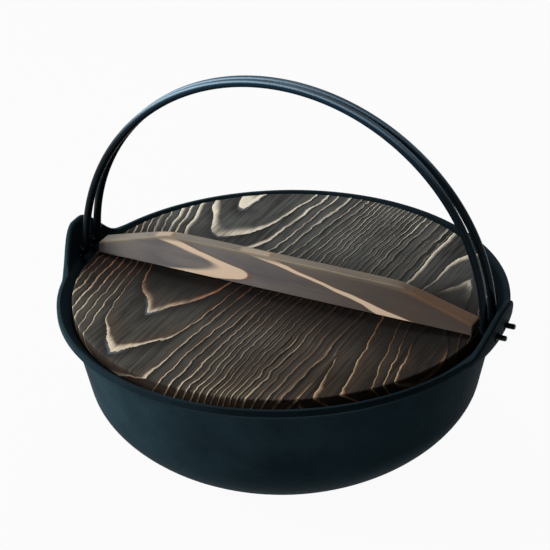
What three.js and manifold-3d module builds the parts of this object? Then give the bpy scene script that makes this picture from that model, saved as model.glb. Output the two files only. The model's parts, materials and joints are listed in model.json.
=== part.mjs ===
// Cast iron hearth pot with a charred cedar drop-in lid and a bail of two separate rods.
// Millimetres, +Z up. The origin is the centre of the flat base; the ears stand at -X and +X.

import * as THREE from 'three';
import { mergeVertices } from 'three/addons/utils/BufferGeometryUtils.js';
import Module from 'manifold-3d';

const wasm = await Module();
wasm.setup();

const { degToRad, lerp, smoothstep } = THREE.MathUtils;

// Pot casting
const RIM_RADIUS = 140;
const RIM_HEIGHT = 98.6;
const BASE_RADIUS = 70;
const WALL = 3.5;
const WALL_TAPER = degToRad(12.2);
const BELLY_HEIGHT = 44.8;
const BELLY_BASE_PULL = 12;
const BELLY_WALL_PULL = 23;
const FLARE_HEIGHT = 10.1;
const FLARE_REACH = 8.4;
const LIP_FACE = 4;
const LIP_WIDTH = 2.4;
const LIP_ROUND = 1.1;

// Ears, cast in one piece with the rim
const EAR_HEIGHT = 21.5;
const EAR_TOP_HALF_WIDTH = 4;
const EAR_ROOT_HALF_WIDTH = 36;
const EAR_ROOT_DEPTH = 7.5;
const EAR_ROOT_TUCK = 0.3;
const EAR_RUNOUT = 8;
const EAR_WALL = 4.2;
const EAR_STANDOFF = 2.2;
const EAR_LEAN = degToRad(13);
const EAR_ROUND = 1.5;
const EAR_SINK = 0.4;

// Bail of two rods
const ROD_RADIUS = 2.5;
const BEND_INSIDE = 1.1;
const BAIL_RISE = 136;
const EYE_SPACING = 15;
const EYE_CLEARANCE = 0.8;
const EYE_ABOVE_RIM = 0.1;
const BEND_INTO_EYE = 0.5;
const PIN_RADIUS = 1.7;
const PIN_STANDS_OUT = 6;
const ROD_TO_ROD = 0.3;

// Lid of two edge-glued boards under a tapered handle batten
const LID_THICKNESS = 9;
const LID_PROUD = 2;
const LID_TO_LEG = 1.7;
const LID_EDGE_BREAK = 0.8;
const LID_TURN = degToRad(-1.7);
const SEAT_GAP = 0.3;
const BOARD_JOINT_X = 66;
const GLUE_LINE = 0.3;
const HANDLE_INSET = 1.65;
const HANDLE_HEIGHT = 21.3;
const HANDLE_END_HEIGHT = 6.6;
const HANDLE_SLOPE_LENGTH = 48.5;
const HANDLE_FOOT_WIDTH = 13;
const HANDLE_TOP_WIDTH = 7.5;

// Wood screws, driven up through the lid into the handle
const SCREW_COUNT = 4;
const SCREW_PITCH = 65;
const SCREW_LENGTH = 16;
const SCREW_SHANK_RADIUS = 1.75;
const SCREW_HEAD_RADIUS = 3.5;
const SCREW_HEAD_HEIGHT = 2;
const SCREW_POINT = 3;
const SCREW_RECESS = 0.5;
const SCREW_CLEARANCE = 0.3;

// Facets
const ROUND_SEGMENTS = 80;
const BELLY_STEPS = 10;
const EAR_STEPS = 36;
const ARCH_STEPS = 40;
const BEND_STEPS = 5;
const ROD_HALF_SIDES = 5;
const SMALL_SEGMENTS = 16;

// Sizes that follow from the ones above
const neck = new THREE.Vector2(RIM_RADIUS - FLARE_REACH, RIM_HEIGHT - FLARE_HEIGHT);
const wallDirection = new THREE.Vector2(Math.sin(WALL_TAPER), Math.cos(WALL_TAPER));
const lipFoot = new THREE.Vector2(RIM_RADIUS, RIM_HEIGHT - LIP_FACE);
const flareDirection = lipFoot.clone().sub(neck).normalize();
const eyeRadius = ROD_RADIUS + EYE_CLEARANCE;
const eyeHeight = RIM_HEIGHT + EYE_ABOVE_RIM + eyeRadius;
const earOuterAtEye = RIM_RADIUS + EAR_STANDOFF + Math.tan(EAR_LEAN) * (eyeHeight - RIM_HEIGHT);
const earInnerAtRim = RIM_RADIUS + EAR_STANDOFF - EAR_WALL;
const eyeInnerEdge = Math.sqrt(earInnerAtRim ** 2 - (EYE_SPACING / 2 + eyeRadius) ** 2);
const rodBend = ROD_RADIUS + BEND_INSIDE;
const bailHalfSpan = eyeInnerEdge + BEND_INTO_EYE - rodBend;
const pinShoulder = earOuterAtEye - EAR_WALL / 2;
const pinTip = earOuterAtEye + PIN_STANDS_OUT;
const bailLean = Math.asin((EYE_SPACING / 2 - ROD_RADIUS - ROD_TO_ROD / 2) / BAIL_RISE);
const lidRadius = bailHalfSpan - ROD_RADIUS - LID_TO_LEG;
const lidTop = RIM_HEIGHT + LID_PROUD;
const lidBottom = lidTop - LID_THICKNESS;
const handleFoot = lidTop + SEAT_GAP;
const handleHalfLength = lidRadius - HANDLE_INSET;

// Turns a closed geometry into a solid that can be joined and cut.
function solidOf(geometry) {
  const bare = geometry.clone();
  bare.deleteAttribute('normal');
  bare.deleteAttribute('uv');
  const merged = mergeVertices(bare);
  const corners = merged.index.array;
  const kept = [];
  for (let i = 0; i < corners.length; i += 3) {
    const [a, b, c] = corners.slice(i, i + 3);
    if (a !== b && b !== c && c !== a) kept.push(a, b, c);
  }
  return new wasm.Manifold(new wasm.Mesh({
    numProp: 3,
    vertProperties: merged.attributes.position.array,
    triVerts: new Uint32Array(kept),
  }));
}

// Turns a joined or cut solid back into a geometry.
function geometryOf(solid) {
  const mesh = solid.getMesh();
  const geometry = new THREE.BufferGeometry();
  geometry.setAttribute('position', new THREE.BufferAttribute(mesh.vertProperties, 3));
  geometry.setIndex(new THREE.BufferAttribute(mesh.triVerts, 1));
  geometry.computeVertexNormals();
  return geometry;
}

// Revolves a profile of (radius, height) points about +Z.
function revolve(profile, segments) {
  return new THREE.LatheGeometry(profile, segments).rotateX(Math.PI / 2);
}

// Left-hand normal of a profile direction: the inner side of a wall that is drawn upwards.
function inward(direction) {
  return new THREE.Vector2(-direction.y, direction.x);
}

// Corner of the inner wall, one wall inside the corner where two straight outer walls meet.
function innerCorner(corner, before, after) {
  const bisector = inward(before).add(inward(after));
  const spread = 1 + inward(before).dot(inward(after));
  return corner.clone().addScaledVector(bisector, WALL / spread);
}

// The two cones of the flare: its underside, and the inner seat that the lid drops on.
const innerNeck = innerCorner(neck, wallDirection, flareDirection);
const lipInside = new THREE.Vector2(RIM_RADIUS - LIP_WIDTH, RIM_HEIGHT);
const seatDirection = lipInside.clone().sub(innerNeck).normalize();
const seatSlope = seatDirection.y / seatDirection.x;
const seatHeight = (radius) => innerNeck.y + (radius - innerNeck.x) * seatSlope;
const seatRadius = (height) => innerNeck.x + (height - innerNeck.y) / seatSlope;
const undersideRadius = (height) => neck.x + (height - neck.y) * flareDirection.x / flareDirection.y;

// Section of the bowl: base, belly curve, tapered wall, flared rim and an even wall inside.
function bowlProfile() {
  const bellyTop = neck.clone().addScaledVector(wallDirection, (BELLY_HEIGHT - neck.y) / wallDirection.y);
  const base = new THREE.Vector2(BASE_RADIUS, 0);
  const basePull = new THREE.Vector2(BASE_RADIUS + BELLY_BASE_PULL, 0);
  const wallPull = bellyTop.clone().addScaledVector(wallDirection, -BELLY_WALL_PULL);
  const belly = new THREE.CubicBezierCurve(base, basePull, wallPull, bellyTop);
  const outerBelly = belly.getPoints(BELLY_STEPS);
  const innerBelly = outerBelly.map((point, i) => {
    const direction = belly.getTangent(i / BELLY_STEPS);
    return point.clone().addScaledVector(inward(direction), WALL);
  });
  const lipRound = new THREE.Path().absarc(
    RIM_RADIUS - LIP_ROUND, RIM_HEIGHT - LIP_ROUND, LIP_ROUND, 0, Math.PI / 2, false,
  );
  return [
    new THREE.Vector2(0, 0),
    ...outerBelly,
    neck,
    lipFoot,
    ...lipRound.getPoints(3),
    lipInside,
    innerNeck,
    ...innerBelly.reverse(),
    new THREE.Vector2(0, WALL),
  ];
}

// Height of an ear above the rim, at a distance along the rim from the ear's middle.
function earRise(along) {
  return EAR_HEIGHT * (1 - smoothstep(Math.abs(along), EAR_TOP_HALF_WIDTH, EAR_ROOT_HALF_WIDTH));
}

// Section of an ear in (radius, height): a leaning wall with a rounded top, rooted in the flare.
function earSection(along) {
  const rise = earRise(along);
  const top = RIM_HEIGHT + (rise > 0 ? rise : -EAR_SINK);
  const reach = EAR_ROOT_HALF_WIDTH + EAR_RUNOUT - Math.abs(along);
  const fullness = smoothstep(reach, 0, 2 * EAR_RUNOUT);
  const standoff = lerp(-EAR_SINK, EAR_STANDOFF, fullness);
  const root = RIM_HEIGHT - lerp(LIP_FACE - EAR_SINK, EAR_ROOT_DEPTH, fullness);
  const rootOuter = RIM_RADIUS - lerp(EAR_SINK, EAR_ROOT_TUCK, fullness);
  const lean = (height) => Math.tan(EAR_LEAN) * Math.max(0, height - RIM_HEIGHT);
  const outer = (height) => RIM_RADIUS + standoff + lean(height);
  const inner = (height) => earInnerAtRim + lean(height);
  const round = Math.min(EAR_ROUND, (outer(top) - inner(top)) * 0.45, (top - root) * 0.4);
  const cut = round * (1 - Math.SQRT1_2);
  return [
    [Math.min(undersideRadius(root), rootOuter) - EAR_SINK, root],
    [rootOuter, root],
    [outer(RIM_HEIGHT), Math.min(RIM_HEIGHT, top) - round - cut],
    [outer(top - round), top - round],
    [outer(top) - cut, top - cut],
    [outer(top) - round, top],
    [inner(top) + round, top],
    [inner(top) + cut, top - cut],
    [inner(top - round), top - round],
  ];
}

// Lofts closed sections, all with the same number of corners, into one closed geometry.
function loft(sections) {
  const count = sections[0].length;
  const corners = [];
  for (let i = 0; i + 1 < sections.length; i += 1) {
    for (let j = 0; j < count; j += 1) {
      const a = i * count + j;
      const b = i * count + (j + 1) % count;
      corners.push(a, a + count, b);
      corners.push(b, a + count, b + count);
    }
  }
  const last = (sections.length - 1) * count;
  for (let j = 1; j + 1 < count; j += 1) {
    corners.push(0, j, j + 1);
    corners.push(last, last + j + 1, last + j);
  }
  const geometry = new THREE.BufferGeometry().setFromPoints(sections.flat());
  return geometry.setIndex(corners);
}

// Ear on the +X side, following the curve of the rim.
function earGeometry() {
  const reach = EAR_ROOT_HALF_WIDTH + EAR_RUNOUT;
  const sections = [];
  for (let i = 0; i <= EAR_STEPS; i += 1) {
    const along = lerp(-reach, reach, i / EAR_STEPS);
    const angle = along / RIM_RADIUS;
    const section = earSection(along).map(([radius, height]) => (
      new THREE.Vector3(radius * Math.cos(angle), radius * Math.sin(angle), height)
    ));
    sections.push(section);
  }
  return loft(sections);
}

// The casting: bowl and ears in one piece, with two eyes through each ear.
function potGeometry() {
  let pot = solidOf(revolve(bowlProfile(), ROUND_SEGMENTS));
  for (const turn of [0, Math.PI]) {
    pot = pot.add(solidOf(earGeometry().rotateZ(turn)));
  }
  for (const side of [-1, 1]) {
    const eye = new THREE.CylinderGeometry(eyeRadius, eyeRadius, 2 * pinTip, SMALL_SEGMENTS);
    eye.rotateZ(Math.PI / 2).translate(0, side * EYE_SPACING / 2, eyeHeight);
    pot = pot.subtract(solidOf(eye));
  }
  return geometryOf(pot);
}

// Centre line of a rod about its pivot: shoulder, bend, arch, bend, shoulder.
// Steps follow the parameter and not the length, so that the tight bends have steps of their own.
class RodLine extends THREE.Curve {
  getUtoTmapping(u) {
    return u;
  }

  getPoint(t) {
    const halfSteps = ARCH_STEPS / 2 + BEND_STEPS + 1;
    const step = (2 * t - 1) * halfSteps;
    const side = Math.sign(step);
    const [x, z] = RodLine.half(Math.abs(step));
    return new THREE.Vector3(side * x, 0, z);
  }

  // A point of one half, counted in steps from the top of the arch.
  static half(step) {
    const archSteps = ARCH_STEPS / 2;
    if (step <= archSteps) {
      const angle = (step / archSteps) * Math.PI / 2;
      return [bailHalfSpan * Math.sin(angle), rodBend + (BAIL_RISE - rodBend) * Math.cos(angle)];
    }
    if (step <= archSteps + BEND_STEPS) {
      const angle = ((step - archSteps) / BEND_STEPS) * Math.PI / 2;
      return [bailHalfSpan + rodBend * (1 - Math.cos(angle)), rodBend * (1 - Math.sin(angle))];
    }
    return [lerp(bailHalfSpan + rodBend, pinShoulder, step - archSteps - BEND_STEPS), 0];
  }
}

// A rod: the bent round bar, and a pin turned down on each end that comes out through the ear.
function rodGeometry() {
  const section = new THREE.Shape().absarc(0, 0, ROD_RADIUS, 0, 2 * Math.PI, false);
  const bar = new THREE.ExtrudeGeometry(section, {
    extrudePath: new RodLine(),
    steps: ARCH_STEPS + 2 * BEND_STEPS + 2,
    curveSegments: ROD_HALF_SIDES,
  });
  let rod = solidOf(bar);
  for (const side of [-1, 1]) {
    const pin = new THREE.CylinderGeometry(PIN_RADIUS, PIN_RADIUS, pinTip - eyeInnerEdge, SMALL_SEGMENTS);
    pin.rotateZ(Math.PI / 2).translate(side * (pinTip + eyeInnerEdge) / 2, 0, 0);
    rod = rod.add(solidOf(pin));
  }
  return geometryOf(rod);
}

// Lid disc: its lower edge is bevelled to sit on the cone inside the flared rim.
function lidDisc() {
  const gapUp = SEAT_GAP / seatDirection.x;
  const gapIn = SEAT_GAP / seatDirection.y;
  return revolve([
    new THREE.Vector2(0, lidBottom),
    new THREE.Vector2(Math.min(seatRadius(lidBottom) - gapIn, lidRadius), lidBottom),
    new THREE.Vector2(lidRadius, Math.max(seatHeight(lidRadius) + gapUp, lidBottom)),
    new THREE.Vector2(lidRadius, lidTop - LID_EDGE_BREAK),
    new THREE.Vector2(lidRadius - LID_EDGE_BREAK, lidTop),
    new THREE.Vector2(0, lidTop),
  ], ROUND_SEGMENTS);
}

// Countersunk screw standing on its head at the origin, or the hole that it needs.
function screwGeometry(clearance) {
  const shank = SCREW_SHANK_RADIUS + clearance;
  const head = SCREW_HEAD_RADIUS + clearance;
  const mouth = clearance > 0 ? -SCREW_RECESS - clearance : 0;
  return revolve([
    new THREE.Vector2(0, mouth),
    new THREE.Vector2(head, mouth),
    new THREE.Vector2(head, clearance),
    new THREE.Vector2(shank, SCREW_HEAD_HEIGHT + clearance),
    new THREE.Vector2(shank, SCREW_LENGTH - SCREW_POINT),
    new THREE.Vector2(0, SCREW_LENGTH + clearance),
  ], SMALL_SEGMENTS);
}

const screwBase = lidBottom + SCREW_RECESS;
const screwPlaces = Array.from({ length: SCREW_COUNT }, (_, i) => (
  new THREE.Vector3((i - (SCREW_COUNT - 1) / 2) * SCREW_PITCH, 0, screwBase)
));

// Cuts the hole of every screw out of a solid of the lid.
function drill(solid) {
  let drilled = solid;
  for (const place of screwPlaces) {
    drilled = drilled.subtract(solidOf(screwGeometry(SCREW_CLEARANCE).translate(...place)));
  }
  return drilled;
}

// The part of the lid disc between two lines across the batten.
function boardGeometry(fromX, toX) {
  const height = 2 * LID_THICKNESS;
  const slab = new THREE.BoxGeometry(toX - fromX, 4 * lidRadius, height);
  slab.translate((fromX + toX) / 2, 0, (lidTop + lidBottom) / 2);
  return geometryOf(drill(solidOf(lidDisc()).intersect(solidOf(slab))));
}

// Extrudes an outline of the XZ plane along Y, centred on it.
function extrudeAcross(outline, width) {
  const shape = new THREE.Shape(outline.map(([x, z]) => new THREE.Vector2(x, z)));
  const geometry = new THREE.ExtrudeGeometry(shape, { depth: width, bevelEnabled: false });
  return geometry.translate(0, 0, -width / 2).rotateX(Math.PI / 2);
}

// Handle batten: long sides lean in to a narrow flat top, and both ends slope down.
function handleGeometry() {
  const flat = handleHalfLength - HANDLE_SLOPE_LENGTH;
  const side = extrudeAcross([
    [-handleHalfLength, 0],
    [handleHalfLength, 0],
    [handleHalfLength, HANDLE_END_HEIGHT],
    [flat, HANDLE_HEIGHT],
    [-flat, HANDLE_HEIGHT],
    [-handleHalfLength, HANDLE_END_HEIGHT],
  ], 2 * HANDLE_FOOT_WIDTH);
  const end = extrudeAcross([
    [-HANDLE_FOOT_WIDTH / 2, 0],
    [HANDLE_FOOT_WIDTH / 2, 0],
    [HANDLE_TOP_WIDTH / 2, HANDLE_HEIGHT],
    [-HANDLE_TOP_WIDTH / 2, HANDLE_HEIGHT],
  ], 3 * handleHalfLength);
  const batten = solidOf(side).intersect(solidOf(end.rotateZ(Math.PI / 2)));
  return geometryOf(drill(batten.translate([0, 0, handleFoot])));
}

function finish(color, roughness, metalness) {
  return new THREE.MeshStandardMaterial({ color, roughness, metalness });
}

function addMesh(parent, name, geometry, material) {
  const mesh = new THREE.Mesh(geometry, material);
  mesh.name = name;
  parent.add(mesh);
  return mesh;
}

const pot = new THREE.Group();
addMesh(pot, 'pot_body', potGeometry(), finish(0x1a2326, 0.6, 0.6));

for (const [name, side] of [['bail_rod_front', -1], ['bail_rod_rear', 1]]) {
  const rod = addMesh(pot, name, rodGeometry(), finish(0x15191b, 0.4, 0.6));
  rod.position.set(0, side * EYE_SPACING / 2, eyeHeight);
  rod.rotation.x = side * bailLean;
}

const lid = new THREE.Group();
lid.rotation.z = LID_TURN;
pot.add(lid);
const discReach = 2 * lidRadius;
const jointHalf = GLUE_LINE / 2;
const wideBoard = boardGeometry(-discReach, BOARD_JOINT_X - jointHalf);
const narrowBoard = boardGeometry(BOARD_JOINT_X + jointHalf, discReach);
addMesh(lid, 'lid_board_wide', wideBoard, finish(0x3a2a20, 0.75, 0));
addMesh(lid, 'lid_board_narrow', narrowBoard, finish(0x402f24, 0.75, 0));
addMesh(lid, 'lid_handle', handleGeometry(), finish(0x5a4334, 0.7, 0));
screwPlaces.forEach((place, i) => {
  const screw = addMesh(lid, `lid_screw_${i + 1}`, screwGeometry(0), finish(0x9a9c9d, 0.35, 0.9));
  screw.position.copy(place);
});

export default pot;
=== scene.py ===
"""Looks of a cast iron hearth pot: a sand-cast bowl, a bail of two rods and a charred cedar lid.

Sizes of the pot are in millimetres and turn into metres when a mesh is made. The lid has a frame of its
own, turned a little about the upright axis of the pot, in which its boards run along Y. The studio is in
metres.
"""

import json
import logging
import math
from dataclasses import dataclass
from enum import Enum
from typing import Any, Callable, Mapping, Sequence, Union

import bmesh
import bpy
import numpy as np
from mathutils import Matrix, Vector


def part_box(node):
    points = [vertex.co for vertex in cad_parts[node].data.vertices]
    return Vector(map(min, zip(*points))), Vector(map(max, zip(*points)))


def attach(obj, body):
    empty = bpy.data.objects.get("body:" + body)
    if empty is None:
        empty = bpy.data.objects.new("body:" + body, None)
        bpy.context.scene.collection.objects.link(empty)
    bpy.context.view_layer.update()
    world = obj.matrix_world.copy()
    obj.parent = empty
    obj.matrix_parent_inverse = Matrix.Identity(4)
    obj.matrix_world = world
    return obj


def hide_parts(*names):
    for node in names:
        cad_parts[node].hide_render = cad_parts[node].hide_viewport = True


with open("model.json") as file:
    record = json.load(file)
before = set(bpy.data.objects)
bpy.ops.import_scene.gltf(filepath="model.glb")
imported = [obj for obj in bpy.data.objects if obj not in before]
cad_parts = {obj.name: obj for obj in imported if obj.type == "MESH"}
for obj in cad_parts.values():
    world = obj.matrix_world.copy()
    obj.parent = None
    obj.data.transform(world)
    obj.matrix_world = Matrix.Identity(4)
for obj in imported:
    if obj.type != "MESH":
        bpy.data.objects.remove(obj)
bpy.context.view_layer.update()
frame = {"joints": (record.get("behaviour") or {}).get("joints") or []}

MM = 0.001
IMAGE_WIDTH = 550
SENSOR_WIDTH = 36.0
SHARP_ANGLE = math.radians(38)
MERGE_DISTANCE = 1e-4 * MM
ROUND_SHARE = 0.46
SHORTEST_SIDE = 1e-9
LID_TOP = 100.6

log = logging.getLogger("hearth_pot")

Value = Union["Wire", float, int, str, Sequence[float], bpy.types.ID]
Place = tuple["Wire", "Wire", "Wire"]
Span = tuple[float, float]


def srgb(red: int, green: int, blue: int) -> tuple[float, float, float, float]:
    """Turns a colour of 0 to 255, as a screen shows it, into the linear colour of a socket."""
    linear = [((c / 255 + 0.055) / 1.055) ** 2.4 for c in (red, green, blue)]
    return (*linear, 1.0)


def smoothstep(value: float, low: float, high: float) -> float:
    """Eases from 0 at low to 1 at high."""
    share = min(max((value - low) / (high - low), 0.0), 1.0)
    return share * share * (3 - 2 * share)


def lerp(start: float, end: float, share: float) -> float:
    """Goes from start to end by a share."""
    return start + (end - start) * share


def reckon(operation: str, reflected: bool = False) -> Callable[..., "Wire"]:
    """Makes a method of a wire that adds a Math node.

    Args:
        operation: What the node does.
        reflected: Whether the other value stands on the left.

    Returns:
        The method, which takes the other value where the node has one.
    """

    def method(wire: "Wire", *values: Value) -> "Wire":
        """Adds the node on the wire and the values."""
        return wire.math(operation, *((*values, wire) if reflected else (wire, *values)))

    return method


class Wire:
    """An output socket that can be reckoned with: each operation adds a Math node to its tree."""

    def __init__(self, bench: "Bench", socket: bpy.types.NodeSocket) -> None:
        """Keeps the socket and the bench that its tree is built on."""
        self.bench = bench
        self.socket = socket

    def other(self, name: str) -> "Wire":
        """Another output of the same node."""
        return Wire(self.bench, self.socket.node.outputs[name])

    def math(self, operation: str, *values: Value) -> "Wire":
        """Adds a Math node on the given values."""
        return self.bench.add("ShaderNodeMath", {"operation": operation}, dict(enumerate(values)))

    __add__ = reckon("ADD")
    __radd__ = reckon("ADD", reflected=True)
    __sub__ = reckon("SUBTRACT")
    __rsub__ = reckon("SUBTRACT", reflected=True)
    __mul__ = reckon("MULTIPLY")
    __rmul__ = reckon("MULTIPLY", reflected=True)
    __truediv__ = reckon("DIVIDE")
    __rtruediv__ = reckon("DIVIDE", reflected=True)
    __pow__ = reckon("POWER")
    __rpow__ = reckon("POWER", reflected=True)
    __abs__ = reckon("ABSOLUTE")
    most = reckon("MAXIMUM")
    least = reckon("MINIMUM")
    floor = reckon("FLOOR")
    fract = reckon("FRACT")
    root = reckon("SQRT")

    def __neg__(self) -> "Wire":
        """Opposite."""
        return self * -1.0

    def bell(self, middle: float, reach: float) -> "Wire":
        """A bump of 1 at the middle that dies away over the reach."""
        share = (self - middle) / reach
        return self.math("EXPONENT", -(share * share))

    def ease(self, low: Value, high: Value) -> "Wire":
        """Eases from 0 at low to 1 at high."""
        inputs = {"Value": self, "From Min": low, "From Max": high}
        return self.bench.add("ShaderNodeMapRange", {"interpolation_type": "SMOOTHSTEP"}, inputs)


class Bench:
    """The bench on which one node tree is built."""

    def __init__(self, tree: bpy.types.NodeTree) -> None:
        """Clears the tree and keeps it."""
        tree.nodes.clear()
        self.tree = tree

    def add(
        self,
        kind: str,
        settings: Mapping[str, Any] | None = None,
        inputs: Mapping[int | str, Value] | None = None,
        output: int | str = 0,
    ) -> Wire:
        """Adds one node.

        Args:
            kind: The type of the node.
            settings: Its properties, which are set before its sockets.
            inputs: Values or wires for its sockets, by place, identifier or name.
            output: The output that is wanted.

        Returns:
            That output, or an empty wire for a node that has none.
        """
        node = self.tree.nodes.new(kind)
        for name, value in (settings or {}).items():
            setattr(node, name, value)
        for key, value in (inputs or {}).items():
            socket = self.find(node.inputs, key)
            if isinstance(value, Wire):
                self.tree.links.new(value.socket, socket)
            else:
                socket.default_value = value
        return Wire(self, self.find(node.outputs, output) if node.outputs else None)

    @staticmethod
    def find(sockets: Sequence[bpy.types.NodeSocket], key: int | str) -> bpy.types.NodeSocket:
        """Finds a socket of a node.

        Args:
            sockets: The inputs or outputs of the node.
            key: The socket's place, its identifier or its name.

        Returns:
            The socket.
        """
        if isinstance(key, int):
            return sockets[key]
        return next(s for s in sockets if s.enabled and key in (s.identifier, s.name))

    def split(self, vector: Wire, scale: float = 1.0) -> Place:
        """The three parts of a vector, times a scale."""
        x = self.add("ShaderNodeSeparateXYZ", inputs={"Vector": vector}, output="X")
        return tuple(part * scale for part in (x, x.other("Y"), x.other("Z")))

    def join(self, x: Value, y: Value, z: Value) -> Wire:
        """A vector of three parts."""
        return self.add("ShaderNodeCombineXYZ", inputs={"X": x, "Y": y, "Z": z})

    def noise(self, place: Place, grain: float | tuple, seed: float, detail: float = 2.0) -> Wire:
        """Smooth noise about zero.

        Args:
            place: Where it is read, in millimetres.
            grain: The size of its features in millimetres, one for each axis or one for all.
            seed: A number that tells one noise from another.
            detail: How many finer layers are added.

        Returns:
            A value that mostly lies between -0.5 and 0.5.
        """
        sizes = grain if isinstance(grain, tuple) else (grain,) * 3
        vector = self.join(*(part / size for part, size in zip(place, sizes)))
        inputs = {"Vector": vector, "W": seed, "Scale": 1.0, "Detail": detail}
        return self.add("ShaderNodeTexNoise", {"noise_dimensions": "4D"}, inputs) - 0.5

    def chance(self, number: Wire, seed: float) -> Wire:
        """A random value of 0 to 1 for each whole number."""
        inputs = {"W": number + seed}
        return self.add("ShaderNodeTexWhiteNoise", {"noise_dimensions": "1D"}, inputs)

    def blend(self, share: Value, first: Value, second: Value) -> Wire:
        """Mixes two colours."""
        inputs = {"Factor_Float": share, "A_Color": first, "B_Color": second}
        return self.add("ShaderNodeMix", {"data_type": "RGBA"}, inputs, "Result_Color")

    def coats(self, color: Value, *layers: tuple[Value, Value]) -> Value:
        """Lays colours over a colour, one after another.

        Args:
            color: The colour below.
            layers: The share that each layer covers, and its colour.

        Returns:
            The colour that results.
        """
        for share, layer in layers:
            color = self.blend(share, color, layer)
        return color


class Paint(Bench):
    """The bench of one material."""

    def __init__(self, name: str) -> None:
        """Starts an empty material.

        Args:
            name: The name of the material.
        """
        self.material = bpy.data.materials.new(name)
        self.material.use_nodes = True
        super().__init__(self.material.node_tree)

    def place(self) -> Place:
        """Object coordinates in millimetres."""
        return self.split(self.add("ShaderNodeTexCoord", output="Object"), 1 / MM)

    def mark(self, attribute: str) -> Wire:
        """A value that the mesh carries at its points."""
        return self.add("ShaderNodeAttribute", {"attribute_name": attribute}, output="Fac")

    def bump(self, height: Wire, distance: float) -> Wire:
        """Normals of a surface with a fine relief, whose distance is in millimetres."""
        inputs = {"Strength": 1.0, "Distance": distance * MM, "Height": height}
        return self.add("ShaderNodeBump", inputs=inputs)

    def surface(self, **sockets: Value) -> bpy.types.Material:
        """Closes the material with a Principled surface.

        Args:
            sockets: Its sockets by name, with _ for a space.

        Returns:
            The material.
        """
        inputs = {name.replace("_", " "): value for name, value in sockets.items()}
        shader = self.add("ShaderNodeBsdfPrincipled", inputs=inputs)
        self.add("ShaderNodeOutputMaterial", inputs={"Surface": shader})
        return self.material


class Recipe(Bench):
    """A Geometry Nodes tree with named sizes, run once on a piece."""

    KINDS = {float: "NodeSocketFloat", int: "NodeSocketInt", tuple: "NodeSocketVector"}

    def __init__(self, name: str) -> None:
        """Starts a tree that takes and gives a geometry.

        Args:
            name: The name of the tree.
        """
        super().__init__(bpy.data.node_groups.new(name, "GeometryNodeTree"))
        for way in ("INPUT", "OUTPUT"):
            self.tree.interface.new_socket("Geometry", in_out=way, socket_type="NodeSocketGeometry")
        self.sizes: dict[str, Any] = {}

    def source(self) -> Wire:
        """The geometry that the tree is given."""
        return self.add("NodeGroupInput", output="Geometry")

    def size(self, name: str, value: Any) -> Wire:
        """Adds a named input to the tree.

        Args:
            name: The name of the input.
            value: The value that it gets on the piece.

        Returns:
            The wire of the input.
        """
        kind = self.KINDS[type(value)]
        socket = self.tree.interface.new_socket(name, in_out="INPUT", socket_type=kind)
        self.sizes[socket.identifier] = value
        return self.add("NodeGroupInput", output=socket.identifier)

    def place(self) -> Place:
        """Positions in millimetres."""
        return self.split(self.add("GeometryNodeInputPosition"), 1 / MM)

    def move(self, offset: Wire) -> Wire:
        """The given geometry with its points moved."""
        inputs = {"Geometry": self.source(), "Offset": offset}
        return self.add("GeometryNodeSetPosition", inputs=inputs)

    def store(self, geometry: Wire, name: str, value: Wire) -> Wire:
        """A geometry that carries a value at its points, which its finish reads."""
        inputs = {"Geometry": geometry, "Name": name, "Value": value}
        return self.add("GeometryNodeStoreNamedAttribute", {"data_type": "FLOAT"}, inputs)

    def run(self, piece: bpy.types.Object, geometry: Wire, material: bpy.types.Material) -> None:
        """Closes the tree, runs it on a piece and keeps the result as the piece's plain mesh.

        Args:
            piece: The piece that the tree is given.
            geometry: What the tree makes of it.
            material: The finish that it gets.
        """
        whole = self.add("GeometryNodeRealizeInstances", inputs={"Geometry": geometry})
        inputs = {"Geometry": whole, "Material": material}
        dressed = self.add("GeometryNodeSetMaterial", inputs=inputs)
        self.add("NodeGroupOutput", inputs={"Geometry": dressed})
        modifier = piece.modifiers.new(self.tree.name, "NODES")
        modifier.node_group = self.tree
        for identifier, value in self.sizes.items():
            modifier[identifier] = value
        settle(piece)


def settle(piece: bpy.types.Object) -> None:
    """Turns a piece with modifiers into a plain mesh.

    Args:
        piece: The piece, whose modifiers come off.
    """
    depsgraph = bpy.context.evaluated_depsgraph_get()
    mesh = bpy.data.meshes.new_from_object(piece.evaluated_get(depsgraph), depsgraph=depsgraph)
    piece.modifiers.clear()
    piece.data = mesh


def put(name: str, data: bpy.types.ID) -> bpy.types.Object:
    """Makes an object and puts it in the scene.

    Args:
        name: The name of the object.
        data: Its mesh, lamp or camera.

    Returns:
        The object.
    """
    thing = bpy.data.objects.new(name, data)
    bpy.context.scene.collection.objects.link(thing)
    return thing


def make_piece(name: str, points: np.ndarray, faces: Sequence[Sequence[int]]) -> bpy.types.Object:
    """Makes a closed piece from points in millimetres, with doubles merged and faces outwards.

    Args:
        name: The name of the piece.
        points: Its corners, one row each.
        faces: The corners of each face.

    Returns:
        The object, at the origin.
    """
    mesh = bpy.data.meshes.new(name)
    mesh.from_pydata((np.asarray(points) * MM).tolist(), [], [list(face) for face in faces])
    work = bmesh.new()
    work.from_mesh(mesh)
    bmesh.ops.remove_doubles(work, verts=work.verts, dist=MERGE_DISTANCE)
    bmesh.ops.dissolve_degenerate(work, edges=work.edges, dist=MERGE_DISTANCE)
    bmesh.ops.recalc_face_normals(work, faces=work.faces)
    work.to_mesh(mesh)
    work.free()
    return put(name, mesh)


def cut(piece: bpy.types.Object, tool: bpy.types.Object) -> None:
    """Cuts a tool out of a piece and throws the tool away.

    Args:
        piece: The piece that is cut.
        tool: A closed mesh.
    """
    modifier = piece.modifiers.new("cut", "BOOLEAN")
    modifier.operation = "DIFFERENCE"
    modifier.solver = "EXACT"
    modifier.object = tool
    settle(piece)
    bpy.data.objects.remove(tool)


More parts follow.
